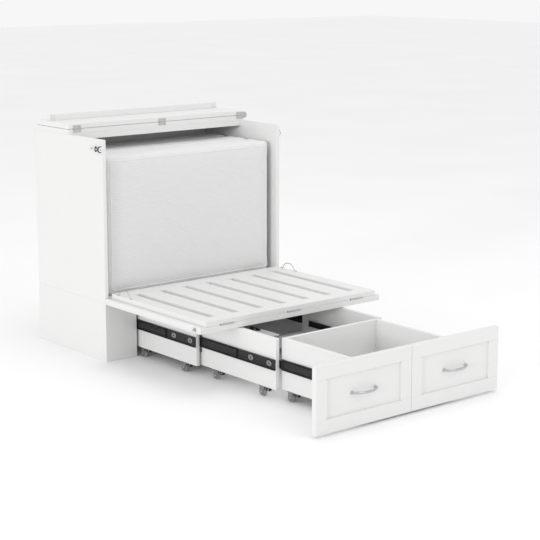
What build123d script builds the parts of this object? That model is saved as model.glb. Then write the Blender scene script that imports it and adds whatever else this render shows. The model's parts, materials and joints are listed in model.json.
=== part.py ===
from build123d import *
import math
import os

# A cabinet bed: a chest whose lid folds back and whose door folds down to carry the
# mattress. The door lies on a pull-out drawer unit in three telescoping sections on
# casters, and a slatted frame, folded on the door, opens forward over the sections.
#
# Millimetres. X runs to the right, Y runs back to the wall, Z runs up. The origin is
# on the floor, at the middle of the wall side. Most lengths along Y are given as a
# depth behind the cabinet's front plane, so a negative depth lies in front of it.
# The bed is drawn with its lid folded back, its door down and its drawers pulled out.

# Cabinet
width = 1041.0
depth = 596.0
panel = 18.0
base_height = 277.0
body_top = 1034.0
top_board = 23.0
cleat_thickness = 6.0
back_thickness = 8.0
deck_top = 299.7
base_side = 30.0
leg_width = 171.0
edge_round = 1.2
mattress_width = 965.0
mattress_top = 952.0
mattress_round = 14.0
cleat_bottom = 908.0
wall_hole_spacing = 812.0
wall_hole_height = 971.0
wall_hole_radius = 4.0

half = width / 2
front = -depth
inner = half - panel
panel_depth = depth - cleat_thickness

# Lid, hinged halfway back along the top
lid_axis = 287.0
lid_gap = 1.5
lid_thickness = 22.0
lid_top = body_top + top_board + lid_gap + lid_thickness
stop_height = 29.0
stop_depth = 198.0
stop_block = 36.0

# Door, hinged on the front edge of the deck
door_thickness = 27.0
door_frame = 9.0
door_rear = -2.0
door_end = -728.2
door_top = deck_top
door_axis_height = deck_top + 1.0

# Slatted frame, hinged on the door's far edge
slat_thickness = 23.0
slat_bottom = door_top + 0.5
slat_top = slat_bottom + slat_thickness
slat_half = half - 27.0
slat_rear = -12.0
slat_axis = door_end - 0.5
slat_axis_height = door_top + 0.25
slat_rear_rail = 76.0
slat_front_rail = 68.0
slot_count = 7
slot_width = 38.0
slot_pitch = 135.3
slot_round = 3.0

# Drawer sections: the front end of each, its length and its outer half width
section_bottom = 44.0
section_top = 268.0
section_wall = 18.0
runner_gap = 13.0
section_outer = {1: half - 184.0, 2: half - 215.0, 3: half - 246.0}
section_front = {1: -450.0, 2: -970.0, 3: -1447.0}
section_length = {1: 538.0, 2: 520.0, 3: 477.0}
rear_rail_height = 60.0
rear_rail_thickness = {1: 18.0, 2: 16.0}

# Ball-bearing runners, one pair for each section
runner_height = 46.0
runner_middle = 153.5
runner_length = {1: 500.0, 2: 518.0, 3: 470.0}
runner_travel = {1: 449.5, 2: 519.5, 3: 477.0}
runner_sheet = 1.5

# Casters
wheel_radius = 18.0
wheel_width = 13.0
axle_radius = 3.0
axle_clearance = 0.05
caster_setback = (96.0, 420.0)

# Drawer front
front_thickness = 24.0
front_bottom = 10.7
front_top = 290.4
front_member = 58.0
front_seam = 1.5
front_panel = 10.0

# Hinges
barrel = 3.0
pin = 1.4
leaf = 2.0
leaf_length = 28.0
knuckles = 5
knuckle_gap = 0.15
knuckle_room = 0.4
lid_hinge_length = 46.0
lid_tab_radius = 16.0
lid_hinge_places = (-472.0, 15.0, 497.5)
door_hinge_length = 76.0
door_hinge_places = (-377.0, 0.0, 377.0)

# Bolts that hold the closed door, one on each side panel
bolt_radius = 4.0
bolt_height = 990.0
bolt_reach = 8.0
bolt_length = 82.0
bolt_tip = 2.0
boss_reach = 3.5
boss_radius = 12.0
collar_radius = 15.0
collar_end = 14.5
saddle_radius = 7.5
keeper_distance = bolt_height - door_axis_height


def block(x, d, z):
    """A square-edged block between limits in X, in depth behind the front, and in Z."""
    size = (x[1] - x[0], d[1] - d[0], z[1] - z[0])
    middle = ((x[0] + x[1]) / 2, front + (d[0] + d[1]) / 2, (z[0] + z[1]) / 2)
    return Pos(*middle) * Box(*size)


def board(x, d, z, radius=edge_round):
    """A block with its edges eased, as a painted board has."""
    solid = block(x, d, z)
    return fillet(solid.edges(), radius)


def rod_x(x, d, z, radius):
    """A round bar along X."""
    centre = Pos((x[0] + x[1]) / 2, front + d, z)
    return centre * Rot(0, 90, 0) * Cylinder(radius, x[1] - x[0])


def rod_y(x, d, z, radius):
    """A round bar along Y."""
    centre = Pos(x, front + (d[0] + d[1]) / 2, z)
    return centre * Rot(90, 0, 0) * Cylinder(radius, d[1] - d[0])


def rod_z(x, d, z, radius):
    """A round bar along Z."""
    return Pos(x, front + d, (z[0] + z[1]) / 2) * Cylinder(radius, z[1] - z[0])


def mirrored(solids):
    """The solids of the right-hand side, with their copies on the left."""
    return [mirror(s, Plane.YZ) for s in solids] + list(solids)


def save(name, *solids):
    """Write one node, as one solid or as a group of separate solids."""
    pieces = [s for group in solids for s in group.solids()]
    shape = pieces[0] if len(pieces) == 1 else Compound(children=pieces)
    shape.label = name
    export_step(shape, f"parts/{name}.step")


# Butt hinges

def knuckle_spans(place, length, turn):
    """The stretches of barrel that one leaf holds; turn is 0 for the fixed leaf."""
    step = length / knuckles
    start = place - length / 2
    return [
        (start + i * step + knuckle_gap, start + (i + 1) * step - knuckle_gap)
        for i in range(turn, knuckles, 2)
    ]


def hinge_leaf(place, length, axis, plate, turn):
    """One leaf with its knuckles. The plate runs up to the axis along its whole length."""
    d, z = axis
    solid = block((place - length / 2, place + length / 2), *plate)
    for span in knuckle_spans(place, length, 1 - turn):
        room = (span[0] - 2 * knuckle_gap, span[1] + 2 * knuckle_gap)
        solid -= rod_x(room, d, z, barrel + knuckle_room)
    for span in knuckle_spans(place, length, turn):
        solid += rod_x(span, d, z, barrel)
    bore = pin if turn == 0 else pin + axle_clearance
    return solid - rod_x((place - length, place + length), d, z, bore)


def hinge_pocket(place, length, axis, *plates):
    """What is cut out of a board to take the leaf and to clear the barrel."""
    d, z = axis
    spread = (place - length / 2 - 0.5, place + length / 2 + 0.5)
    tool = rod_x(spread, d, z, barrel + 0.6)
    for plate in plates:
        tool += block((place - length / 2, place + length / 2), *plate)
    return tool


def hinge_pin(place, length, axis):
    d, z = axis
    return rod_x((place - length / 2, place + length / 2), d, z, pin)


lid_hinge_axis = (lid_axis, body_top + top_board + lid_gap / 2)
lid_face = (lid_axis + 0.5, lid_axis + 0.5 + leaf)
lid_fixed_plate = (lid_face, (body_top + 5.5, lid_hinge_axis[1]))
lid_moving_plate = (lid_face, (lid_hinge_axis[1], lid_top - 5.5))

door_hinge_axis = (0.0, door_axis_height)
door_leaf_height = (deck_top - leaf, deck_top)
door_fixed_plate = ((0.0, leaf_length), door_leaf_height)
door_moving_plate = ((-leaf_length, 0.0), door_leaf_height)

slat_hinge_axis = (slat_axis, slat_axis_height)
slat_leaf_depth = (slat_axis, slat_axis + leaf_length)
slat_lower_plate = (slat_leaf_depth, (door_top - leaf, door_top))
slat_upper_plate = (slat_leaf_depth, (slat_bottom, slat_bottom + leaf))


# Cabinet

def side_panel():
    solid = block((inner, half), (0, panel_depth), (base_height, body_top))
    corner = solid.edges().filter_by(Axis.X).group_by(Axis.Z)[-1].sort_by(Axis.Y)[0]
    solid = fillet(corner, 8.0)
    return fillet(solid.edges(), edge_round)


def fixed_top():
    solid = board((-half, half), (lid_axis + 0.5, panel_depth), (body_top, body_top + top_board))
    for place in lid_hinge_places:
        solid -= hinge_pocket(place, lid_hinge_length, lid_hinge_axis, lid_fixed_plate)
    return solid


def top_rail():
    return board((-inner, inner), (lid_axis + 0.5, lid_axis + 18.5), (body_top - 28, body_top))


def deck():
    """The floor of the mattress bay, notched at its front edge for the door hinges."""
    solid = board((-inner, inner), (2.0, panel_depth - back_thickness), (base_height, deck_top))
    for place in door_hinge_places:
        solid -= hinge_pocket(place, door_hinge_length, door_hinge_axis, door_fixed_plate)
    return solid


def back():
    d = (panel_depth - back_thickness, panel_depth)
    upper = board((-inner, inner), d, (base_height, body_top), 0.8) - wall_holes()
    side = half - base_side
    lower = board((-side, side), d, (0, base_height), 0.8)
    return upper, lower


def wall_holes():
    """Two holes through the back and the cleat, for the screws that hold the bed to the wall."""
    d = (panel_depth - back_thickness - 1, depth + 1)
    x = wall_hole_spacing / 2
    return mirrored([rod_y(x, d, wall_hole_height, wall_hole_radius)])


def wall_cleat():
    """The rail across the back, flush with the body's sides."""
    solid = board((-half, half), (panel_depth, depth), (cleat_bottom, body_top), 0.8)
    return solid - wall_holes()


def base_sides():
    right = board((half - base_side, half), (panel, panel_depth), (0, base_height))
    return mirrored([right])


def leg_boards():
    right = board((half - leg_width, half), (0, panel), (0, base_height))
    return mirrored([right])


def runner_carriers():
    """Upright boards inside the base that the first pair of runners is screwed to."""
    face = section_outer[1] + runner_gap
    right = board((face, face + panel), (panel, 560), (0, base_height))
    return mirrored([right])


# Mattress: three sections that stand folded in the cabinet

def mattress_section(index):
    first = 26.0
    thickness = 165.0
    pitch = 166.0
    start = first + index * pitch
    x = (-mattress_width / 2, mattress_width / 2)
    z = (deck_top + 0.5, mattress_top)
    return board(x, (start, start + thickness), z, mattress_round)


# Lid

def lid_board():
    z = (body_top + top_board + lid_gap, lid_top)
    solid = board((-half, half), (lid_axis + 0.5, lid_axis * 2 - 0.5), z)
    for place in lid_hinge_places:
        solid -= hinge_pocket(place, lid_hinge_length, lid_hinge_axis, lid_moving_plate)
    return solid - lid_tab()


def stop_rail():
    """The strip under the lid that keeps the door from swinging in, with grooved end blocks."""
    d = (lid_axis + stop_depth, lid_axis + stop_depth + panel)
    z = (lid_top, lid_top + stop_height)
    end = inner - 2.5
    rail = board((-(end - stop_block), end - stop_block), d, z)
    end_block = board((end - stop_block, end), d, z, 0.8)
    for i in range(3):
        x = end - stop_block + 9.0 * (i + 1)
        end_block -= block((x - 1.2, x + 1.2), (d[0] - 1, d[0] + 1.5), (z[0] - 1, z[1] + 1))
    return [rail] + mirrored([end_block])


def lid_tab():
    """The round end of the right-hand leaf, which stands past the board as a finger grip."""
    axis = lid_hinge_axis[1]
    disc = rod_y(half + 6.5, lid_face, axis, lid_tab_radius)
    return disc - block((half - 20.0, half + 0.5), lid_face, (axis - 20.0, axis + 4.2))


# Door

def door_core():
    z = (door_top - door_thickness + door_frame, door_top)
    solid = board((-half, half), (door_end, door_rear), z)
    for place in door_hinge_places:
        solid -= hinge_pocket(place, door_hinge_length, door_hinge_axis, door_moving_plate)
        solid -= hinge_pocket(place, door_hinge_length, slat_hinge_axis, slat_lower_plate)
    return solid


def panelled_frame(x, low, high, member, make):
    """Rails across the width and stiles between them, for one panelled front."""
    rails = [make(x, (low, low + member)), make(x, (high - member, high))]
    between = (low + member, high - member)
    stiles = [make((x[0], x[0] + member), between), make((x[1] - member, x[1]), between)]
    return rails + stiles


def door_trim():
    """Two panelled fronts on the face that looks down while the door lies open."""
    z = (door_top - door_thickness, door_top - door_thickness + door_frame)

    def make(x, d):
        return board(x, d, z)

    right = panelled_frame((front_seam, half), door_end, door_rear, front_member, make)
    return mirrored(right)


def keepers():
    """Plates with a hole on the door's edges, which the bolts pass through."""
    d = -keeper_distance
    z = door_axis_height - 14.0
    plate = block((half, half + 16.0), (d - 9.0, d + 9.0), (z - 1.5, z + 1.5))
    plate = fillet(plate.edges().filter_by(Axis.Z).group_by(Axis.X)[-1], 7.0)
    foot = block((half, half + 2.0), (d - 9.0, d + 9.0), (z - 9.0, z + 9.0))
    right = plate + foot - rod_z(half + bolt_reach, d, (z - 5, z + 5), bolt_radius + 0.8)
    return mirrored([right])


# Slatted frame

def slat_rails():
    z = (slat_bottom, slat_top)
    x = (-slat_half, slat_half)
    far = board(x, (door_end, door_end + slat_front_rail), z, slot_round / 2)
    near = board(x, (slat_rear - slat_rear_rail, slat_rear), z, slot_round / 2)
    for place in door_hinge_places:
        far -= hinge_pocket(place, door_hinge_length, slat_hinge_axis, slat_upper_plate)
    return far, near


def slats():
    """Two side stiles and the slats between them, with an even gap at each slot."""
    z = (slat_bottom, slat_top)
    d = (door_end + slat_front_rail, slat_rear - slat_rear_rail)
    first = -slot_pitch * (slot_count - 1) / 2
    centres = [first + i * slot_pitch for i in range(slot_count)]
    lefts = [-slat_half] + [c + slot_width / 2 for c in centres]
    rights = [c - slot_width / 2 for c in centres] + [slat_half]
    return [board((a, b), d, z, slot_round / 2) for a, b in zip(lefts, rights)]


def frame_bails():
    """A bent wire at each side of the frame, to pull it over by and to keep the mattress in."""
    wire = 1.6
    x = slat_half - 5.0
    low = slat_top
    points = [
        (x, front - 158.0, low),
        (x, front - 146.0, low + 17.0),
        (x, front - 111.0, low + 32.0),
        (x, front - 76.0, low + 17.0),
        (x, front - 64.0, low),
    ]
    path = FilletPolyline(*points, radius=10.0)
    start = Plane(origin=path @ 0, z_dir=path % 0)
    right = sweep(start * Circle(wire), path)
    right -= block((x - 9, x + 9), (-200, 0), (low - 9, low))
    return mirrored([right])


# Runners: a narrow member, a middle member and a wall channel, nested

def runner_member(kind, face, start, length):
    """One member on the right. Offsets run inward from the outer board's face."""
    web, flange, tall = {
        "narrow": ((0.0, 1.5), (0.0, 6.0), 26.0),
        "middle": ((7.0, 8.5), (2.5, 8.5), 36.0),
        "channel": ((11.5, 13.0), (3.5, 13.0), runner_height),
    }[kind]
    d = (start, start + length)
    top = runner_middle + tall / 2
    bottom = runner_middle - tall / 2
    solid = block((face - web[1], face - web[0]), d, (bottom, top))
    lip = (face - flange[1], face - flange[0])
    solid += block(lip, d, (top - runner_sheet, top))
    solid += block(lip, d, (bottom, bottom + runner_sheet))
    return solid


def runner_start(index):
    """Where the pair's narrow member starts: 2 mm behind the front of what carries it."""
    if index == 1:
        return 2.0
    return section_front[index - 1] + 2.0


def narrow_members(index):
    face = section_outer[index] + runner_gap
    member = runner_member("narrow", face, runner_start(index), runner_length[index])
    return mirrored([member])


def middle_members(index):
    face = section_outer[index] + runner_gap
    start = runner_start(index) - runner_travel[index] / 2
    return mirrored([runner_member("middle", face, start, runner_length[index])])


def wall_channels(index):
    face = section_outer[index] + runner_gap
    start = section_front[index] + 2.0
    return mirrored([runner_member("channel", face, start, runner_length[index])])


# Drawer sections

def section_sides(index):
    outer = section_outer[index]
    d = (section_front[index], section_front[index] + section_length[index])
    right = board((outer - section_wall, outer), d, (section_bottom, section_top))
    return mirrored([right])


def section_rear_rail(index):
    outer = section_outer[index]
    rear = section_front[index] + section_length[index]
    d = (rear, rear + rear_rail_thickness[index])
    return board((-outer, outer), d, (section_bottom, section_bottom + rear_rail_height))


def drawer_box():
    """Sides, back and inner front of the innermost section."""
    side = section_outer[3] - section_wall
    near = section_front[3]
    rear = near + section_length[3]
    z = (section_bottom, section_top)
    back_board = board((-side, side), (rear - panel, rear), z)
    front_board = board((-side, side), (near, near + 12.0), z)
    return section_sides(3) + [back_board, front_board]


def drawer_bottom():
    side = section_outer[3] - section_wall
    near = section_front[3] + 12.0
    rear = section_front[3] + section_length[3] - panel
    return block((-side, side), (near, rear), (section_bottom + 12.0, section_bottom + 18.0))


def drawer_front():
    """Two panelled fronts side by side: the frames, then the panels set back in them."""
    near = section_front[3] - front_thickness
    rear = section_front[3]

    def make(x, z):
        return board(x, (near, rear), z)

    x = (front_seam / 2, half)
    frame = panelled_frame(x, front_bottom, front_top, front_member, make)
    inside = (x[0] + front_member, x[1] - front_member)
    z = (front_bottom + front_member, front_top - front_member)
    field = block(inside, (rear - front_panel - 5.0, rear - 5.0), z)
    return mirrored(frame), mirrored([field])


def handle(centre_x):
    """A bow pull: two feet and a grip that curves out between them."""
    spread = 64.0
    height = (front_bottom + front_top) / 2
    face = front + section_front[3] - front_panel - 5.0
    reach = 34.0
    grip = Spline(
        (centre_x - spread, face - 9.0, height),
        (centre_x - spread * 0.55, face - reach * 0.86, height),
        (centre_x, face - reach, height),
        (centre_x + spread * 0.55, face - reach * 0.86, height),
        (centre_x + spread, face - 9.0, height),
    )
    section = Plane(origin=grip @ 0, z_dir=grip % 0) * Ellipse(3.6, 5.2)
    bow = sweep(section, grip)
    for side in (-1, 1):
        foot = Pos(centre_x + side * spread, face - 6.5, height) * Rot(90, 0, 0)
        bow += foot * Cone(7.5, 5.0, 13.0)
    return bow


def handles():
    centre = (front_seam / 2 + half) / 2
    return [handle(-centre), handle(centre)]


# Casters

def caster_places(index):
    """Depths of a section's wheel axles."""
    return [section_front[index] + setback for setback in caster_setback]


def caster_x(index):
    return section_outer[index] - section_wall / 2


def caster_fork(x, d):
    """A plate screwed under the wall, two cheeks and the axle through them."""
    top = (section_bottom - 3.0, section_bottom)
    plate = block((x - 9.5, x + 9.5), (d - 50.0, d + 20.0), top)
    plate += block((x - 7.0, x + 7.0), (d - 48.0, d - 30.0), (section_bottom - 14.0, top[0] + 0.5))
    for side in (-1, 1):
        near = x + side * (wheel_width / 2 + 1.0)
        far = x + side * (wheel_width / 2 + 3.0)
        span = (min(near, far), max(near, far))
        cheek = block(span, (d - 15.0, d + 15.0), (wheel_radius, top[1] - 0.5))
        cheek += rod_x(span, d, wheel_radius, 15.0)
        plate += cheek
    axle = rod_x((x - wheel_width / 2 - 4.5, x + wheel_width / 2 + 4.5), d, wheel_radius, axle_radius)
    return plate - axle, axle


def caster_wheel(x, d):
    """A tyred wheel with a hub on each side and a plain bore."""
    half_width = wheel_width / 2
    tread = rod_x((x - half_width, x + half_width), d, wheel_radius, wheel_radius)
    tread = fillet(tread.edges(), 2.0)
    for side in (-1, 1):
        edge = x + side * half_width
        dish = (min(edge, edge - side * 2.0), max(edge, edge - side * 2.0))
        tread -= rod_x(dish, d, wheel_radius, 12.0) - rod_x(dish, d, wheel_radius, 6.0)
    long_bore = (x - wheel_width, x + wheel_width)
    return tread - rod_x(long_bore, d, wheel_radius, axle_radius + axle_clearance)


# Bolts on the side panels

def bolt_bore():
    bore = bolt_radius + axle_clearance
    return rod_y(half + bolt_reach, (-10.0, 70.0), bolt_height, bore)


def proud(solid):
    """What of a solid stands out of the right-hand panel."""
    return solid & block((half, half + 40.0), (-10.0, 90.0), (bolt_height - 30, bolt_height + 30))


def bolt_housing():
    """A plate with a round boss in front and a saddle behind, which the bolt slides in."""
    plate = block((half, half + 2.0), (collar_end, 60.0), (bolt_height - 12.5, bolt_height + 12.5))
    plate = fillet(plate.edges().filter_by(Axis.X), 4.0)
    centre = half + bolt_reach
    d = (51.0, 58.0)
    saddle = block((half + 1.0, centre), d, (bolt_height - saddle_radius, bolt_height + saddle_radius))
    plate += saddle + rod_y(centre, d, bolt_height, saddle_radius)
    boss = rod_y(half + boss_reach, (0.6, 8.0), bolt_height, boss_radius)
    boss = fillet(boss.edges().filter_by(GeomType.CIRCLE).sort_by(Axis.Y)[0], 2.0)
    return [plate - bolt_bore(), proud(boss) - bolt_bore()]


def bolt_collar():
    """The black washer between the boss and the plate."""
    collar = rod_y(half + boss_reach, (8.0, collar_end), bolt_height, collar_radius)
    return proud(collar) - bolt_bore()


def door_bolt():
    """A round bolt with a domed tip and a cross peg for the fingers."""
    centre = half + bolt_reach
    solid = rod_y(centre, (bolt_tip, bolt_tip + bolt_length), bolt_height, bolt_radius)
    solid = fillet(solid.edges().sort_by(Axis.Y)[0], bolt_radius - 0.4)
    solid += rod_z(centre, 44.0, (bolt_height - 12.0, bolt_height + 12.0), 2.6)
    return solid


def build_cabinet():
    right = side_panel()
    save("side_panel_right", right)
    save("side_panel_left", mirror(right, Plane.YZ))
    save("fixed_top", fixed_top())
    save("top_front_rail", top_rail())
    save("deck", deck())
    upper, lower = back()
    save("back_panel_upper", upper)
    save("back_panel_lower", lower)
    save("wall_cleat", wall_cleat())
    save("base_sides", *base_sides())
    save("leg_boards", *leg_boards())
    save("runner_carriers", *runner_carriers())
    for index, name in enumerate(("front", "middle", "rear")):
        save(f"mattress_{name}", mattress_section(index))
    save("bolt_housings", *mirrored(bolt_housing()))
    save("bolt_collars", *mirrored([bolt_collar()]))
    bolt = door_bolt()
    save("door_bolt_right", bolt)
    save("door_bolt_left", mirror(bolt, Plane.YZ))


def build_lid():
    save("lid_board", lid_board())
    save("lid_stop_rail", *stop_rail())
    moving = [
        hinge_leaf(p, lid_hinge_length, lid_hinge_axis, lid_moving_plate, 1)
        for p in lid_hinge_places
    ]
    moving[-1] += lid_tab()
    save("lid_hinge_leaves", *moving)
    fixed = [
        hinge_leaf(p, lid_hinge_length, lid_hinge_axis, lid_fixed_plate, 0)
        for p in lid_hinge_places
    ]
    pins = [hinge_pin(p, lid_hinge_length, lid_hinge_axis) for p in lid_hinge_places]
    save("lid_hinge_fixed_leaves", *fixed, *pins)


def build_door():
    save("door_core", door_core())
    save("door_trim", *door_trim())
    save("door_keepers", *keepers())
    fixed = []
    moving = []
    upper = []
    for place in door_hinge_places:
        fixed.append(hinge_leaf(place, door_hinge_length, door_hinge_axis, door_fixed_plate, 0))
        fixed.append(hinge_pin(place, door_hinge_length, door_hinge_axis))
        moving.append(hinge_leaf(place, door_hinge_length, door_hinge_axis, door_moving_plate, 1))
        moving.append(hinge_leaf(place, door_hinge_length, slat_hinge_axis, slat_lower_plate, 0))
        moving.append(hinge_pin(place, door_hinge_length, slat_hinge_axis))
        upper.append(hinge_leaf(place, door_hinge_length, slat_hinge_axis, slat_upper_plate, 1))
    save("door_hinge_fixed_leaves", *fixed)
    save("door_hinge_leaves", *moving)
    save("slat_hinge_leaves", *upper)
    save("slat_frame_rails", *slat_rails())
    save("slats", *slats())
    save("slat_frame_bails", *frame_bails())


def build_sections():
    save("cabinet_runner_rails", *narrow_members(1))
    for index in (1, 2, 3):
        save(f"runner_middle_{index}", *middle_members(index))
        rails = narrow_members(index + 1) if index < 3 else []
        save(f"section_{index}_runner_rails", *wall_channels(index), *rails)
        forks = []
        for row, d in enumerate(caster_places(index)):
            place = "front" if row == 0 else "rear"
            x = caster_x(index)
            forks += mirrored(caster_fork(x, d))
            wheel = caster_wheel(x, d)
            save(f"wheel_{index}_{place}_right", wheel)
            save(f"wheel_{index}_{place}_left", mirror(wheel, Plane.YZ))
        save(f"section_{index}_casters", *forks)
    for index in (1, 2):
        save(f"section_{index}_frame", *section_sides(index), section_rear_rail(index))
    save("drawer_box", *drawer_box())
    save("drawer_bottom", drawer_bottom())
    frames, fields = drawer_front()
    save("drawer_front_frames", *frames)
    save("drawer_front_panels", *fields)
    save("drawer_handles", *handles())


os.makedirs("parts", exist_ok=True)
build_cabinet()
build_lid()
build_door()
build_sections()
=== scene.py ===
import json
import math

import bmesh
import bpy
from mathutils import Matrix, Vector
from mathutils.bvhtree import BVHTree


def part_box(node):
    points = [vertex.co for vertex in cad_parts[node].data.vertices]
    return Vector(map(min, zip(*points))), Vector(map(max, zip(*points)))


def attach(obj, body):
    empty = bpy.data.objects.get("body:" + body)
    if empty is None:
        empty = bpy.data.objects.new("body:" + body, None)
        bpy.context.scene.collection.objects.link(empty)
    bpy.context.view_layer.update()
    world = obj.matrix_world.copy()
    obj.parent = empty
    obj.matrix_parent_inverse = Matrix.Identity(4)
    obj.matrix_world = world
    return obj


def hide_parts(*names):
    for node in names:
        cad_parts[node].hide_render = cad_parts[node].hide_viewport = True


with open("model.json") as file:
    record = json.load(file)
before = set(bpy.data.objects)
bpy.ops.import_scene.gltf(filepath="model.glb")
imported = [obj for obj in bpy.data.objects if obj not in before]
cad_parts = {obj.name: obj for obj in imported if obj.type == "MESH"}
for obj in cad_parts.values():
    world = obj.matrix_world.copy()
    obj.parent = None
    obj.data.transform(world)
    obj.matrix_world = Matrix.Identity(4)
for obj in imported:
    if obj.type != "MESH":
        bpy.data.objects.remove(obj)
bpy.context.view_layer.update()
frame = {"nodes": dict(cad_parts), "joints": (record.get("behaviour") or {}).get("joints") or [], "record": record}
scene = bpy.context.scene

# A cabinet bed with its lid folded back, its door down and its drawer sections pulled out.
# Lengths are in metres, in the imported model's frame: +X right, +Y to the wall, +Z up.

MM = 0.001
RIGHT = Vector((1, 0, 0))
BACK = Vector((0, 1, 0))
UP = Vector((0, 0, 1))
SIDES = (("left", -1), ("right", 1))

joint_place = {j["name"]: Vector(j["pos_m"]) for j in frame["joints"] if "pos_m" in j}

# The node that holds each section's sides
section_sides = {1: "section_1_frame", 2: "section_2_frame", 3: "drawer_box"}

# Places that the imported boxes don't give
lid_hinges = (-0.472, 0.015, 0.4975)
slat_hinges = (-0.377, 0.0, 0.377)
slat_hinge_width = 0.076
runner_middle = 0.1535  # height of the runners' middle line
runner_bosses = (0.045, 0.169)  # behind a section's front end
bolt_height = 0.990
bumper_height = 0.653
handle_feet = 0.064  # half the distance between a handle's feet


# Materials

def new_material(name, colour, roughness, metallic=0.0):
    """A material with its node tree and its shader."""
    material = bpy.data.materials.new(name)
    material.use_nodes = True
    tree = material.node_tree
    shader = tree.nodes["Principled BSDF"]
    shader.inputs["Base Color"].default_value = (*colour, 1)
    shader.inputs["Roughness"].default_value = roughness
    shader.inputs["Metallic"].default_value = metallic
    return material, tree, shader


def coordinates(tree, stretch=(1, 1, 1)):
    """Object coordinates, scaled along each axis."""
    place = tree.nodes.new("ShaderNodeTexCoord")
    mapping = tree.nodes.new("ShaderNodeMapping")
    mapping.inputs["Scale"].default_value = stretch
    tree.links.new(place.outputs["Object"], mapping.inputs["Vector"])
    return mapping.outputs["Vector"]


def noise(tree, per_metre, detail=2.0, stretch=(1, 1, 1)):
    """A noise whose features are about 1 / per_metre long."""
    node = tree.nodes.new("ShaderNodeTexNoise")
    node.inputs["Scale"].default_value = per_metre
    node.inputs["Detail"].default_value = detail
    tree.links.new(coordinates(tree, stretch), node.inputs["Vector"])
    return node.outputs["Fac"]


def ribs(tree, pitch, axis, wobble):
    """Parallel ribs across an axis, as a wave from 0 to 1."""
    node = tree.nodes.new("ShaderNodeTexWave")
    node.wave_type = "BANDS"
    node.bands_direction = axis
    node.inputs["Scale"].default_value = math.pi / (10 * pitch)
    node.inputs["Distortion"].default_value = wobble
    node.inputs["Detail"].default_value = 1.0
    node.inputs["Detail Scale"].default_value = 6.0
    tree.links.new(coordinates(tree), node.inputs["Vector"])
    return node.outputs["Fac"]


def spread(tree, factor, low, high):
    """The middle of a pattern, from 0.3 to 0.7, stretched to run from low to high."""
    node = tree.nodes.new("ShaderNodeMapRange")
    node.inputs["From Min"].default_value = 0.3
    node.inputs["From Max"].default_value = 0.7
    node.inputs["To Min"].default_value = low
    node.inputs["To Max"].default_value = high
    tree.links.new(factor, node.inputs["Value"])
    return node.outputs["Result"]


def mixed(tree, factor, first, second):
    """A colour between two colours or two sockets."""
    node = tree.nodes.new("ShaderNodeMix")
    node.data_type = "RGBA"
    tree.links.new(factor, node.inputs[0])
    for socket, value in ((node.inputs[6], first), (node.inputs[7], second)):
        if isinstance(value, tuple):
            socket.default_value = (*value, 1)
        else:
            tree.links.new(value, socket)
    return node.outputs[2]


def added(tree, first, second, share):
    """first + share x second."""
    node = tree.nodes.new("ShaderNodeMath")
    node.operation = "MULTIPLY_ADD"
    node.inputs[1].default_value = share
    tree.links.new(second, node.inputs[0])
    tree.links.new(first, node.inputs[2])
    return node.outputs[0]


def relief(tree, shader, height, depth):
    """Bumps up to depth high."""
    node = tree.nodes.new("ShaderNodeBump")
    node.inputs["Distance"].default_value = depth
    tree.links.new(height, node.inputs["Height"])
    tree.links.new(node.outputs["Normal"], shader.inputs["Normal"])


def shade(colour, amount):
    return tuple(c * amount for c in colour)


def painted(name, colour, stretch=(1, 1, 1), grain=0.0):
    """Satin paint on board: a sprayed skin, with a trace of grain on solid wood."""
    material, tree, shader = new_material(name, colour, roughness=0.42)
    cloud = spread(tree, noise(tree, per_metre=3.0, detail=3.0), low=0, high=1)
    base = mixed(tree, cloud, shade(colour, 0.975), colour)
    speck = noise(tree, per_metre=90.0, detail=4.0, stretch=stretch)
    base = mixed(tree, spread(tree, speck, low=0, high=1), base, shade(colour, 0.99))
    tree.links.new(base, shader.inputs["Base Color"])
    gloss = noise(tree, per_metre=18.0, detail=3.0, stretch=stretch)
    tree.links.new(spread(tree, gloss, low=0.36, high=0.48), shader.inputs["Roughness"])
    height = noise(tree, per_metre=380.0, detail=2.0)
    if grain:
        wood = noise(tree, per_metre=240.0, detail=3.0, stretch=stretch)
        height = added(tree, height, wood, share=grain)
    relief(tree, shader, height, depth=0.00012)
    shader.inputs["Specular IOR Level"].default_value = 0.4
    return material


def ribbed_fabric(name, colour):
    """Knitted ticking with fine ribs that run from side to side, with painted shade in the rib valleys and a
    painted highlight on the crests.
    """
    material, tree, shader = new_material(name, colour, roughness=0.9)
    rows = ribs(tree, pitch=0.0075, axis="Z", wobble=0.6)
    stitches = ribs(tree, pitch=0.0022, axis="X", wobble=1.5)
    fuzz = noise(tree, per_metre=900.0, detail=3.0)
    cloud = noise(tree, per_metre=5.0, detail=2.0)
    # The rib wave also drives the relief: valleys are painted darker and crests lighter, as painted shade and
    # painted highlight.
    base = mixed(tree, rows, shade(colour, 0.93), shade(colour, 1.02))
    base = mixed(tree, spread(tree, fuzz, low=0, high=0.35), base, shade(colour, 0.9))
    base = mixed(tree, spread(tree, cloud, low=0, high=0.5), base, shade(colour, 0.96))
    tree.links.new(base, shader.inputs["Base Color"])
    height = added(tree, rows, stitches, share=0.35)
    height = added(tree, height, fuzz, share=0.4)
    relief(tree, shader, height, depth=0.0006)
    tree.links.new(spread(tree, fuzz, low=0.82, high=0.96), shader.inputs["Roughness"])
    shader.inputs["Sheen Weight"].default_value = 0.25
    shader.inputs["Specular IOR Level"].default_value = 0.2
    return material


def piped_tape(name, colour):
    """The woven tape sewn round a mattress edge."""
    material, tree, shader = new_material(name, colour, roughness=0.85)
    weave = noise(tree, per_metre=1200.0, detail=2.0)
    # The same weave drives the relief, so its low spots are painted darker: painted shade in the weave.
    tree.links.new(mixed(tree, weave, shade(colour, 0.86), colour), shader.inputs["Base Color"])
    tree.links.new(spread(tree, weave, low=0.75, high=0.92), shader.inputs["Roughness"])
    relief(tree, shader, weave, depth=0.0005)
    return material


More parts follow.
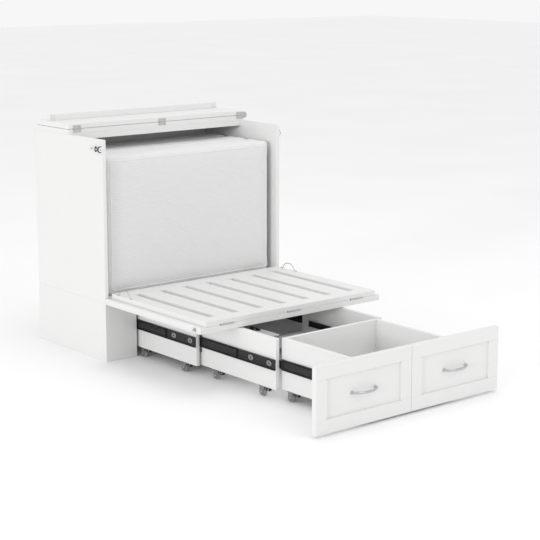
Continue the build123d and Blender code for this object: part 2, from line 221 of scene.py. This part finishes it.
def metal(name, colour, roughness, brushed=(1, 1, 1)):
    """Plated steel with a fine directional finish and some handling marks."""
    material, tree, shader = new_material(name, colour, roughness, metallic=1.0)
    haze = spread(tree, noise(tree, per_metre=60.0, detail=4.0), low=0, high=1)
    tree.links.new(mixed(tree, haze, shade(colour, 0.88), colour), shader.inputs["Base Color"])
    finish = noise(tree, per_metre=700.0, detail=3.0, stretch=brushed)
    gloss = spread(tree, finish, low=roughness * 0.8, high=roughness * 1.3)
    tree.links.new(gloss, shader.inputs["Roughness"])
    relief(tree, shader, finish, depth=0.00004)
    return material


def coated(name, colour, roughness, worn_and_highlight):
    """Black coated steel with lighter streaks along its length: a little rubbing, and painted highlight streaks.
    """
    material, tree, shader = new_material(name, colour, roughness)
    # Lighter streaks along the runs: partly rubbing, partly painted highlight.
    rub_and_highlight = noise(tree, per_metre=30.0, detail=5.0, stretch=(1, 0.08, 3))
    base = mixed(tree, spread(tree, rub_and_highlight, low=0, high=1), colour, worn_and_highlight)
    tree.links.new(base, shader.inputs["Base Color"])
    gloss = noise(tree, per_metre=120.0, detail=4.0)
    gloss = spread(tree, gloss, low=roughness * 0.8, high=roughness * 1.4)
    tree.links.new(gloss, shader.inputs["Roughness"])
    relief(tree, shader, noise(tree, per_metre=1500.0, detail=2.0), depth=0.00005)
    shader.inputs["Specular IOR Level"].default_value = 0.3
    return material


def moulded(name, colour, roughness, grain=0.00008):
    """Moulded plastic or rubber with a fine spark texture."""
    material, tree, shader = new_material(name, colour, roughness)
    cloud = spread(tree, noise(tree, per_metre=70.0, detail=3.0), low=0, high=1)
    tree.links.new(mixed(tree, cloud, shade(colour, 0.9), colour), shader.inputs["Base Color"])
    skin = noise(tree, per_metre=1600.0, detail=2.0)
    gloss = spread(tree, skin, low=roughness * 0.85, high=roughness * 1.2)
    tree.links.new(gloss, shader.inputs["Roughness"])
    relief(tree, shader, skin, depth=grain)
    return material


white = (0.745, 0.745, 0.74)
paint = painted("painted_board", white)
paint_slats = painted("painted_slats", white, stretch=(1, 0.04, 1), grain=0.5)
ticking = ribbed_fabric("mattress_ticking", (0.74, 0.74, 0.74))
tape = piped_tape("mattress_tape", (0.80, 0.80, 0.80))
hinge_metal = metal("satin_nickel", (0.58, 0.58, 0.57), roughness=0.34, brushed=(1, 0.1, 1))
bolt_metal = metal("polished_nickel", (0.56, 0.56, 0.57), roughness=0.12)
screw_metal = metal("zinc_screw", (0.55, 0.55, 0.56), roughness=0.33)
# The near-black finish in the screws' cross recesses is painted shade.
recess_painted_shade = metal("screw_recess_painted_shade", (0.03, 0.03, 0.03), roughness=0.6)
caster_metal = metal("caster_zinc", (0.30, 0.30, 0.31), roughness=0.36)
boss_metal = metal("runner_boss", (0.34, 0.34, 0.35), roughness=0.4)
runner_coat = coated(
    "runner_black", (0.010, 0.010, 0.011), roughness=0.42, worn_and_highlight=(0.024, 0.024, 0.026)
)
wheel_plastic = moulded("wheel_grey", (0.33, 0.33, 0.345), roughness=0.38)
white_plastic = moulded("white_plastic", (0.82, 0.82, 0.81), roughness=0.3)
black_rubber = moulded("black_rubber", (0.018, 0.018, 0.018), roughness=0.55, grain=0.00015)

slot_material = {
    "painted_wood": paint,
    "mattress_fabric": ticking,
    "hinge_steel": hinge_metal,
    "bolt_plastic": white_plastic,
    "bolt_chrome": bolt_metal,
    "runner_black": runner_coat,
    "caster_steel": caster_metal,
    "wheel_plastic": wheel_plastic,
}


def dress_cad_nodes():
    """Gives each CAD node the finish of its slot, and three of them a finish of their own."""
    for part in frame["record"]["subparts"]:
        node = frame["nodes"][part["node"]]
        node.data.materials.clear()
        node.data.materials.append(slot_material[part["material_slot"]])
    for name in ("slats", "slat_frame_rails"):
        frame["nodes"][name].data.materials[0] = paint_slats
    frame["nodes"]["bolt_collars"].data.materials[0] = black_rubber


# Mesh building

def add_piece(name, mesh, body, slot, *materials):
    """An object made of a mesh, riding on a CAD body."""
    piece = bpy.data.objects.new(name, mesh)
    scene.collection.objects.link(piece)
    for material in materials:
        mesh.materials.append(material)
    mesh.polygons.foreach_set("use_smooth", [True] * len(mesh.polygons))
    mesh.set_sharp_from_angle(angle=math.radians(35))
    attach(piece, body)
    return piece


def to_mesh(name, bm):
    """The mesh of a bmesh, with its faces turned outward. The bmesh is freed."""
    bmesh.ops.recalc_face_normals(bm, faces=bm.faces)
    mesh = bpy.data.meshes.new(name)
    bm.to_mesh(mesh)
    bm.free()
    return mesh


def around(steps):
    """Angles all round a circle."""
    return [2 * math.pi * i / steps for i in range(steps)]


def level_ring(bm, radius, height, steps):
    """New points round Z at a height."""
    return [
        bm.verts.new((radius * math.cos(a), radius * math.sin(a), height)) for a in around(steps)
    ]


def bridge(bm, pairs, steps):
    """Faces between pairs of rings. A ring of one point gives a fan."""
    for low, high in pairs:
        for i in range(steps):
            j = (i + 1) % steps
            below = [low[i % len(low)], low[j % len(low)]]
            above = [high[j % len(high)], high[i % len(high)]]
            bm.faces.new(list(dict.fromkeys(below + above)))


def lathe(name, profile, steps=28):
    """A mesh turned about Z from (radius, height) in millimetres, closed where the radius is 0."""
    bm = bmesh.new()
    rings = []
    for radius, height in profile:
        if radius == 0:
            rings.append([bm.verts.new((0, 0, height * MM))])
        else:
            rings.append(level_ring(bm, radius * MM, height * MM, steps))
    bridge(bm, zip(rings, rings[1:]), steps)
    return to_mesh(name, bm)


def screw(name, radius, height, steps=28):
    """A low domed screw head with a cross recess, standing on Z = 0."""
    bm = bmesh.new()
    dome = [(1.0, 0.0), (1.0, 0.3), (0.9, 0.72), (0.68, 1.0)]
    rings = [level_ring(bm, radius * share, height * rise, steps) for share, rise in dome]
    bridge(bm, zip(rings, rings[1:]), steps)
    reach, arm = radius * 0.5, radius * 0.13
    taper, floor_height = 0.7, height * 0.25
    cross = []
    for k in range(4):
        turn = Matrix.Rotation(k * math.pi / 2, 2)
        cross += [turn @ Vector(p) for p in ((reach, -arm), (reach, arm), (arm, arm))]
    top = [bm.verts.new((p.x, p.y, height)) for p in cross]
    floor = [bm.verts.new((p.x * taper, p.y * taper, floor_height)) for p in cross]
    rim = [bm.edges.get((rings[-1][i], rings[-1][(i + 1) % steps])) for i in range(steps)]
    sides = [(i, (i + 1) % len(cross)) for i in range(len(cross))]
    mouth = [bm.edges.new((top[i], top[j])) for i, j in sides]
    bmesh.ops.triangle_fill(bm, edges=rim + mouth, use_beauty=True)
    recess = [bm.faces.new((top[i], top[j], floor[j], floor[i])) for i, j in sides]
    recess.append(bm.faces.new(floor))
    # The recess faces take the second material, which paints shade into the recess.
    for face in recess:
        face.material_index = 1
    return to_mesh(name, bm)


def rounded_block(name, size, radius):
    """A block with all its edges rounded."""
    bm = bmesh.new()
    bmesh.ops.create_cube(bm, size=1.0, matrix=Matrix.Diagonal((*size, 1)))
    bmesh.ops.bevel(
        bm, geom=bm.edges[:], offset=radius, segments=3, profile=0.5, affect="EDGES"
    )
    return to_mesh(name, bm)


def tube(name, points, radius, closed=True, steps=10):
    """A round tube along points."""
    bm = bmesh.new()
    count = len(points)
    rings = []
    for i, point in enumerate(points):
        before = points[i - 1] if closed or i else points[0]
        after = points[(i + 1) % count] if closed or i < count - 1 else points[-1]
        along = (after - before).normalized()
        across = along.cross(BACK if abs(along.y) < 0.8 else UP).normalized()
        other = along.cross(across)
        rings.append([
            bm.verts.new(point + radius * (math.cos(a) * across + math.sin(a) * other))
            for a in around(steps)
        ])
    pairs = list(zip(rings, rings[1:]))
    if closed:
        pairs.append((rings[-1], rings[0]))
    bridge(bm, pairs, steps)
    if not closed:
        bm.faces.new(rings[0])
        bm.faces.new(rings[-1])
    return to_mesh(name, bm)


def facing(point, normal, turn=0.0):
    """The matrix that stands a template on a point with its Z along a normal."""
    aim = Vector(normal).to_track_quat("Z", "Y").to_matrix().to_4x4()
    return Matrix.Translation(point) @ aim @ Matrix.Rotation(turn, 4, "Z")


def scatter(name, template, places, body, slot, *materials):
    """One piece made of copies of a template, such as a set of screws."""
    bm = bmesh.new()
    for place in places:
        copy = template.copy()
        copy.transform(place)
        bm.from_mesh(copy)
        bpy.data.meshes.remove(copy)
    return add_piece(name, to_mesh(name, bm), body, slot, *materials)


# Mattress

swell = 0.007  # how much smaller a section is on each side before it is filled
edge_round = 0.016
corner_round = 0.020
voxel = 0.010
air_pressure = 4.0
swell_cap = 0.009
cloth_frames = 20
seam_radius = 0.0024
seam_step = 0.02
seam_reach = 0.06  # how far outside the edge a ray starts that finds the seam's place


def mattress_blank(name, low, high):
    """The start of a section: a block with eased edges, a little small."""
    size = high - low - 2 * Vector((swell, swell, swell))
    bm = bmesh.new()
    place = Matrix.Translation((low + high) / 2) @ Matrix.Diagonal((*size, 1))
    bmesh.ops.create_cube(bm, size=1.0, matrix=place)
    bmesh.ops.bevel(
        bm, geom=bm.edges[:], offset=edge_round, segments=5, profile=0.5, affect="EDGES"
    )
    blank = bpy.data.objects.new(name, to_mesh(name, bm))
    scene.collection.objects.link(blank)
    return blank


def settle(piece):
    """Replaces a piece's mesh with what its modifiers make of it."""
    graph = bpy.context.evaluated_depsgraph_get()
    mesh = bpy.data.meshes.new_from_object(piece.evaluated_get(graph))
    piece.modifiers.clear()
    piece.data = mesh


def remesh(piece, size):
    """Rebuilds a piece's mesh from even voxels."""
    modifier = piece.modifiers.new("remesh", "REMESH")
    modifier.mode = "VOXEL"
    modifier.voxel_size = size
    settle(piece)


def inflate(piece, pressure, cap):
    """Fills a closed cloth with air. No point moves as far as cap."""
    start = [v.co.copy() for v in piece.data.vertices]
    cloth = piece.modifiers.new("cloth", "CLOTH")
    cloth.settings.quality = 4
    cloth.settings.mass = 0.4
    cloth.settings.use_pressure = True
    cloth.settings.uniform_pressure_force = pressure
    cloth.settings.effector_weights.gravity = 0
    cloth.collision_settings.use_collision = False
    for step in range(1, cloth_frames + 1):
        scene.frame_set(step)
    settle(piece)
    scene.frame_set(1)
    for vertex, old in zip(piece.data.vertices, start):
        move = vertex.co - old
        vertex.co = old + move * cap / (cap + move.length)


def fit(piece, low, high):
    """Scales a piece to fill a box exactly."""
    corners = [v.co for v in piece.data.vertices]
    least = Vector([min(c[i] for c in corners) for i in range(3)])
    most = Vector([max(c[i] for c in corners) for i in range(3)])
    for vertex in piece.data.vertices:
        vertex.co = Vector([
            low[i] + (vertex.co[i] - least[i]) * (high[i] - low[i]) / (most[i] - least[i])
            for i in range(3)
        ])


def rounded_outline(low, high):
    """Points round a section seen from the front, each with its outward direction."""
    x0, x1 = low.x + edge_round, high.x - edge_round
    z0, z1 = low.z + edge_round, high.z - edge_round
    arc_steps = 8
    outline = []
    for x, z, begin in ((x1, z1, 0), (x0, z1, 90), (x0, z0, 180), (x1, z0, 270)):
        cx = x - corner_round * math.copysign(1, x - (x0 + x1) / 2)
        cz = z - corner_round * math.copysign(1, z - (z0 + z1) / 2)
        for k in range(arc_steps + 1):
            angle = math.radians(begin + k * 90 / arc_steps)
            out = Vector((math.cos(angle), 0, math.sin(angle)))
            outline.append((Vector((cx, 0, cz)) + corner_round * out, out))
    dense = []
    for (a, out_a), (b, out_b) in zip(outline, outline[1:] + outline[:1]):
        steps = max(1, round((b - a).length / seam_step))
        for k in range(steps):
            dense.append((a.lerp(b, k / steps), out_a.lerp(out_b, k / steps).normalized()))
    return dense


def edge_loop(low, high, face_sign, tree):
    """Points on a section's rounded edge, all round its front or its back face."""
    face = low.y if face_sign < 0 else high.y
    outward = face_sign * BACK
    points = []
    for point, out in rounded_outline(low, high):
        origin = Vector((point.x, face, point.z)) + seam_reach * (out + outward)
        hit = tree.ray_cast(origin, -(out + outward).normalized())[0]
        if hit is not None:
            points.append(hit)
    return points


def make_mattress(which):
    """One section: a cloth filled with air, and the tapes round its front and back edges."""
    node = f"mattress_{which}"
    low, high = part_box(node)
    section = mattress_blank(f"mattress_section_{which}", low, high)
    remesh(section, voxel)
    inflate(section, air_pressure, swell_cap)
    fit(section, low, high)
    subdivision = section.modifiers.new("smooth", "SUBSURF")
    subdivision.levels = 1
    subdivision.render_levels = 1
    section.data.materials.append(ticking)
    section.data.polygons.foreach_set("use_smooth", [True] * len(section.data.polygons))
    surface = BVHTree.FromObject(section, bpy.context.evaluated_depsgraph_get())
    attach(section, "cabinet")
    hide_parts(node)
    for side, sign in (("front", -1), ("back", 1)):
        loop = edge_loop(low, high, sign, surface)
        name = f"mattress_{which}_{side}_tape"
        add_piece(name, tube(name, loop, seam_radius), "cabinet", "mattress_fabric", tape)


# Screws and small parts

small_screw = screw("small_screw", radius=0.0026, height=0.0011)
hinge_screw = screw("hinge_screw", radius=0.0034, height=0.0004)
board_screw = screw("board_screw", radius=0.0040, height=0.0014)
boss_profile = [(12.6, 0), (12.4, 1.1), (11.6, 1.6), (6.6, 1.6), (6.0, 1.0), (5.6, 0.2), (0, 0.2)]
runner_boss = lathe("runner_boss", boss_profile, 36)


def screws(name, template, places, body):
    """A set of screws as one piece."""
    return scatter(name, template, places, body, "hinge_steel", screw_metal, recess_painted_shade)


def make_lid_details():
    """Two screws in each leaf of the lid's hinges, and the rings on the finger tab."""
    axis = joint_place["lid_fold"]
    face = axis.y + 0.5 * MM
    screw_offset = 0.013
    knuckle = 3 * MM
    lower = (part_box("lid_hinge_fixed_leaves")[0].z + axis.z - knuckle) / 2
    upper = (axis.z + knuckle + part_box("lid_hinge_leaves")[1].z) / 2
    for name, height, body in (("fixed", lower, "cabinet"), ("moving", upper, "lid")):
        places = [
            facing(Vector((x + side * screw_offset, face, height)), -BACK, 0.3 + x)
            for x in lid_hinges for side in (-1, 1)
        ]
        screws(f"lid_hinge_{name}_screws", hinge_screw, places, body)
    tab_radius = 16 * MM
    tab = Vector((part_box("lid_hinge_leaves")[1].x - tab_radius, face, axis.z))
    profile = [
        (15.2, 0), (14.9, 0.8), (13.9, 1.2), (12.6, 1.0), (12.2, 0.2),
        (4.4, 0.2), (4.2, 0.9), (3.0, 1.2), (0, 1.3),
    ]
    rim = lathe("tab_rim", profile, 40)
    scatter("lid_tab_rim", rim, [facing(tab, -BACK)], "lid", "hinge_steel", screw_metal)


def make_bolt_details():
    """Screws in the bolts' plates, and in the keepers on the door's edges."""
    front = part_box("bolt_housings")[0].y
    plate_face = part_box("side_panel_right")[1].x + 2 * MM
    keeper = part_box("door_keepers")
    keeper_middle = (keeper[0].y + keeper[1].y) / 2
    keeper_height = joint_place["door_fold"].z - 14 * MM
    for side, sign in SIDES:
        face = sign * plate_face
        places = [
            facing(Vector((face, front + back * MM, bolt_height + up * MM)), sign * RIGHT, back)
            for back in (17.5, 38.0) for up in (-8.6, 8.6)
        ]
        screws(f"bolt_screws_{side}", small_screw, places, "cabinet")
        places = []
        for by in (-5.5, 5.5):
            head = Vector((face, keeper_middle + by * MM, keeper_height + by * MM))
            places.append(facing(head, sign * RIGHT, by))
        screws(f"keeper_screws_{side}", small_screw, places, "door")


def make_bolt_grips():
    """A dark rubber sleeve over the finger peg of each bolt."""
    length = 25.2
    profile = [
        (0, 0), (2.4, 0), (3.0, 0.6), (3.2, 2.0), (2.9, 12.6),
        (3.2, 23.2), (3.0, 24.6), (2.4, length), (0, length),
    ]
    sleeve = lathe("bolt_grip", [(radius, height - length / 2) for radius, height in profile], 24)
    peg_back = 42 * MM
    for side, _ in SIDES:
        low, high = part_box(f"door_bolt_{side}")
        place = Matrix.Translation(((low.x + high.x) / 2, low.y + peg_back, bolt_height))
        scatter(f"bolt_grip_{side}", sleeve, [place], f"bolt_{side}", "bolt_chrome", black_rubber)


def bail_path(x, front, back, bottom, top):
    """The wire's middle line: up one leg, over a low arch and down the other leg."""
    reach = (back - front) / 2
    middle = (front + back) / 2
    rise = top - bottom
    share = [(-1.0, 0.0), (-0.93, 0.18), (-0.78, 0.48), (-0.60, 0.76), (-0.38, 0.94), (-0.12, 1.0)]
    share += [(-y, z) for y, z in reversed(share)]
    coarse = [Vector((x, middle + y * reach, bottom + z * rise)) for y, z in share]
    steps = 4
    points = []
    for i in range(len(coarse) - 1):
        a, b = coarse[max(i - 1, 0)], coarse[i]
        c, d = coarse[i + 1], coarse[min(i + 2, len(coarse) - 1)]
        for k in range(steps):
            t = k / steps
            line = 2 * b + (c - a) * t
            bend = (2 * a - 5 * b + 4 * c - d) * t * t
            twist = (3 * b - a - 3 * c + d) * t ** 3
            points.append(0.5 * (line + bend + twist))
    points.append(coarse[-1])
    return points


def make_bails():
    """The bent wires, round in section, with the small plates that hold them to the frame."""
    low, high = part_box("slat_frame_bails")
    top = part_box("slats")[1].z
    wire = 2.1 * MM
    for side, sign in SIDES:
        x = sign * (high.x - wire)
        path = bail_path(x, low.y + wire, high.y - wire, top, high.z - wire)
        mesh = tube(f"bail_{side}", path, wire, closed=False, steps=14)
        bail = add_piece(f"bail_{side}", mesh, "slat_frame", "hinge_steel", hinge_metal)
        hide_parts("slat_frame_bails")
    leg = 1.6 * MM
    thickness = 1.4 * MM
    plate = rounded_block("bail_plate", (9.4 * MM, 20 * MM, thickness), 0.6 * MM)
    ends = ((low.y + leg, -1), (high.y - leg, 1))
    for side, sign in SIDES:
        x = sign * (high.x - leg)
        places = [
            Matrix.Translation((x, y + out * 6 * MM, top + thickness / 2)) for y, out in ends
        ]
        scatter(f"bail_plates_{side}", plate, places, "slat_frame", "hinge_steel", hinge_metal)
        heads = [facing(Vector((x, y + out * 11 * MM, top + thickness)), UP) for y, out in ends]
        screws(f"bail_screws_{side}", small_screw, heads, "slat_frame")


def make_hinge_pins():
    """Dark pin heads at the left-hand ends of the slatted frame's hinges."""
    axis = joint_place["slat_frame_fold"]
    head = lathe("pin_head", [(2.9, 0), (2.9, 0.8), (2.2, 1.5), (0, 1.7)])
    places = [
        facing(Vector((x - slat_hinge_width / 2, axis.y, axis.z)), -RIGHT) for x in slat_hinges
    ]
    scatter("slat_hinge_pin_heads", head, places, "door", "hinge_steel", black_rubber)


def make_runner_bosses(index):
    """Oval bosses, each with a dark screw, on the runner rails of a section that holds another."""
    body = f"section_{index}"
    low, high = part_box(section_sides[index])
    web = high.x + 1.5 * MM
    oval = Matrix.Diagonal((1.3, 1, 1, 1))
    for side, sign in SIDES:
        places = [
            facing(Vector((sign * web, low.y + back, runner_middle)), sign * RIGHT)
            for back in runner_bosses
        ]
        bosses = [place @ oval for place in places]
        name = f"runner_{index}_bosses_{side}"
        scatter(name, runner_boss, bosses, body, "caster_steel", boss_metal)
        name = f"runner_{index}_screws_{side}"
        scatter(name, board_screw, places, body, "caster_steel", runner_coat, recess_painted_shade)


def make_runner_ribs(index):
    """A raised rib along the middle member of each runner."""
    panel_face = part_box(section_sides[index])[1].x
    rail_low, rail_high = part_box(f"runner_middle_{index}")
    length = rail_high.y - rail_low.y
    rib = rounded_block("runner_rib", (1.1 * MM, length - 8 * MM, 12 * MM), 0.5 * MM)
    runner_width = 13 * MM
    rib_depth = 6.9 * MM
    for side, sign in SIDES:
        x = sign * (panel_face + runner_width - rib_depth)
        place = Matrix.Translation((x, (rail_low.y + rail_high.y) / 2, runner_middle))
        name = f"runner_{index}_rib_{side}"
        scatter(name, rib, [place], f"runner_slide_{index}", "runner_black", runner_coat)


def make_caster_details(index):
    """Rivets on the axles, and the stop block in front of each wheel with its screws."""
    body = f"section_{index}"
    rivet = lathe("axle_rivet", [(4.6, 0), (4.5, 0.7), (3.4, 1.5), (0, 1.8)])
    cover = rounded_block("stop_cover", (15.4 * MM, 9 * MM, 12.5 * MM), 1.2 * MM)
    nose = rounded_block("stop_nose", (15.4 * MM, 11.5 * MM, 12.5 * MM), 1.2 * MM)
    fork_face = 11.0 * MM
    stop_face = 7.7 * MM
    cover_place = Vector((0, -33.2 * MM, 16.9 * MM))
    nose_place = Vector((0, -43.4 * MM, 16.9 * MM))
    screw_rise = 17.6 * MM
    rivets, covers, noses, heads = [], [], [], []
    for row in ("front", "rear"):
        for side, _ in SIDES:
            axle = joint_place[f"wheel_{index}_{row}_{side}_spin"]
            for face in (-1, 1):
                rivets.append(facing(axle + Vector((face * fork_face, 0, 0)), face * RIGHT))
                head = axle + Vector((face * stop_face, nose_place.y, screw_rise))
                heads.append(facing(head, face * RIGHT, 0.5))
            covers.append(Matrix.Translation(axle + cover_place))
            noses.append(Matrix.Translation(axle + nose_place))
    scatter(f"caster_{index}_rivets", rivet, rivets, body, "caster_steel", screw_metal)
    scatter(f"caster_{index}_stop_covers", cover, covers, body, "caster_steel", black_rubber)
    scatter(f"caster_{index}_stop_noses", nose, noses, body, "caster_steel", black_rubber)
    screws(f"caster_{index}_stop_screws", small_screw, heads, body)


def make_drawer_details():
    """Roses under the handles' feet, and the screws inside that hold the two fronts."""
    low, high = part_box("drawer_handles")
    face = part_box("drawer_front_panels")[0].y
    height = (low.z + high.z) / 2
    foot_radius = 7.5 * MM
    rose = lathe("handle_rose", [(8.0, 0), (8.0, 0.5), (7.4, 1.0), (0, 1.0)])
    places = []
    for sign in (-1, 1):
        centre = sign * (abs(low.x) - handle_feet - foot_radius)
        places += [
            facing(Vector((centre + foot * handle_feet, face, height)), -BACK) for foot in (-1, 1)
        ]
    scatter("handle_roses", rose, places, "section_3", "bolt_chrome", bolt_metal)
    board = 12 * MM
    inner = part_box("drawer_box")[0].y + board
    places = [
        facing(Vector((x, inner, z)), BACK, x)
        for x in (-0.215, -0.075, 0.075, 0.215) for z in (0.1, 0.22)
    ]
    screws("drawer_front_screws", board_screw, places, "section_3")


def make_carcase_details():
    """Nails round the back, screws in the section rails and a bumper behind each side."""
    low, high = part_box("back_panel_upper")
    nail = lathe("nail_head", [(2.4, 0), (2.3, 0.3), (0, 0.45)], 12)
    edge = high.x - 9 * MM
    heights = [low.z + 0.03 + i * 0.075 for i in range(8)]
    places = [facing(Vector((sign * edge, high.y, z)), BACK) for sign in (-1, 1) for z in heights]
    across = [-0.44 + 0.11 * i for i in range(9)]
    places += [facing(Vector((x, high.y, low.z + 0.012)), BACK) for x in across]
    scatter("back_panel_nails", nail, places, "cabinet", "hinge_steel", screw_metal)
    for index in (1, 2):
        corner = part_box(section_sides[index])[1]
        places = [
            facing(Vector((sign * (corner.x - 9 * MM), corner.y, z)), BACK, z)
            for sign in (-1, 1) for z in (0.062, 0.088)
        ]
        screws(f"section_{index}_rail_screws", board_screw, places, f"section_{index}")
    bumper = lathe("wall_bumper", [(5.5, 0), (5.4, 2.4), (4.2, 4.4), (0, 5.2)])
    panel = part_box("side_panel_right")[1]
    places = [
        facing(Vector((sign * (panel.x - 7 * MM), panel.y, bumper_height)), BACK)
        for sign in (-1, 1)
    ]
    scatter("wall_bumpers", bumper, places, "cabinet", "wheel_plastic", black_rubber)


# Stage

def make_floor():
    """A plain pale floor."""
    mesh = bpy.data.meshes.new("floor")
    reach = 30.0
    corners = [(-reach, -reach, 0), (reach, -reach, 0), (reach, reach, 0), (-reach, reach, 0)]
    mesh.from_pydata(corners, [], [(0, 1, 2, 3)])
    floor = bpy.data.objects.new("floor", mesh)
    scene.collection.objects.link(floor)
    material, tree, shader = new_material("pale_floor", (0.92, 0.92, 0.92), roughness=0.9)
    haze = spread(tree, noise(tree, per_metre=0.8, detail=2.0), low=0, high=1)
    base = mixed(tree, haze, (0.91, 0.91, 0.91), (0.93, 0.93, 0.93))
    tree.links.new(base, shader.inputs["Base Color"])
    shader.inputs["Specular IOR Level"].default_value = 0.1
    mesh.materials.append(material)


def add_light(name, place, size, power):
    """A square lamp that faces the middle of the bed."""
    middle = Vector((0, -1.0, 0.5))
    light = bpy.data.lights.new(name, "AREA")
    light.shape = "SQUARE"
    light.size = size
    light.energy = power
    lamp = bpy.data.objects.new(name, light)
    lamp.location = place
    lamp.rotation_euler = (middle - Vector(place)).to_track_quat("-Z", "Y").to_euler()
    scene.collection.objects.link(lamp)


def add_sun(name, direction, angle, power):
    """Soft light in one direction, as from a large window."""
    light = bpy.data.lights.new(name, "SUN")
    light.energy = power
    light.angle = math.radians(angle)
    lamp = bpy.data.objects.new(name, light)
    lamp.rotation_euler = Vector(direction).to_track_quat("-Z", "Y").to_euler()
    scene.collection.objects.link(lamp)


def make_lights():
    world = bpy.data.worlds.new("studio")
    world.use_nodes = True
    background = world.node_tree.nodes["Background"]
    background.inputs["Color"].default_value = (1, 1, 1, 1)
    background.inputs["Strength"].default_value = 0.93
    scene.world = world
    add_light("key", place=(-6.5, -1.6, 1.9), size=3.0, power=30)
    add_sun("window", direction=(1, 0.30, -0.15), angle=9, power=0.6)
    add_light("front", place=(0.5, -6.5, 3.2), size=3.5, power=38)
    add_light("top", place=(0.5, -1.2, 5.5), size=3.5, power=42)


def make_camera():
    """The camera stands to the left of the front, above the bed, and looks a little down."""
    camera = bpy.data.cameras.new("camera")
    camera.sensor_width = 36.0
    camera.lens = 99.86
    camera.shift_y = -0.08
    azimuth = math.radians(39.47)
    down = math.radians(10.15)
    stand = bpy.data.objects.new("camera", camera)
    stand.location = (-4.2105, -6.2684, 1.8411)
    stand.rotation_euler = (math.pi / 2 - down, 0, -azimuth)
    scene.collection.objects.link(stand)
    scene.camera = stand


make_camera()
make_floor()
make_lights()
dress_cad_nodes()
for which in ("front", "middle", "rear"):
    make_mattress(which)
make_lid_details()
make_bolt_details()
make_bolt_grips()
make_bails()
make_hinge_pins()
for index in section_sides:
    if index < 3:
        make_runner_bosses(index)
    make_runner_ribs(index)
    make_caster_details(index)
make_drawer_details()
make_carcase_details()
scene.view_settings.view_transform = "Standard"
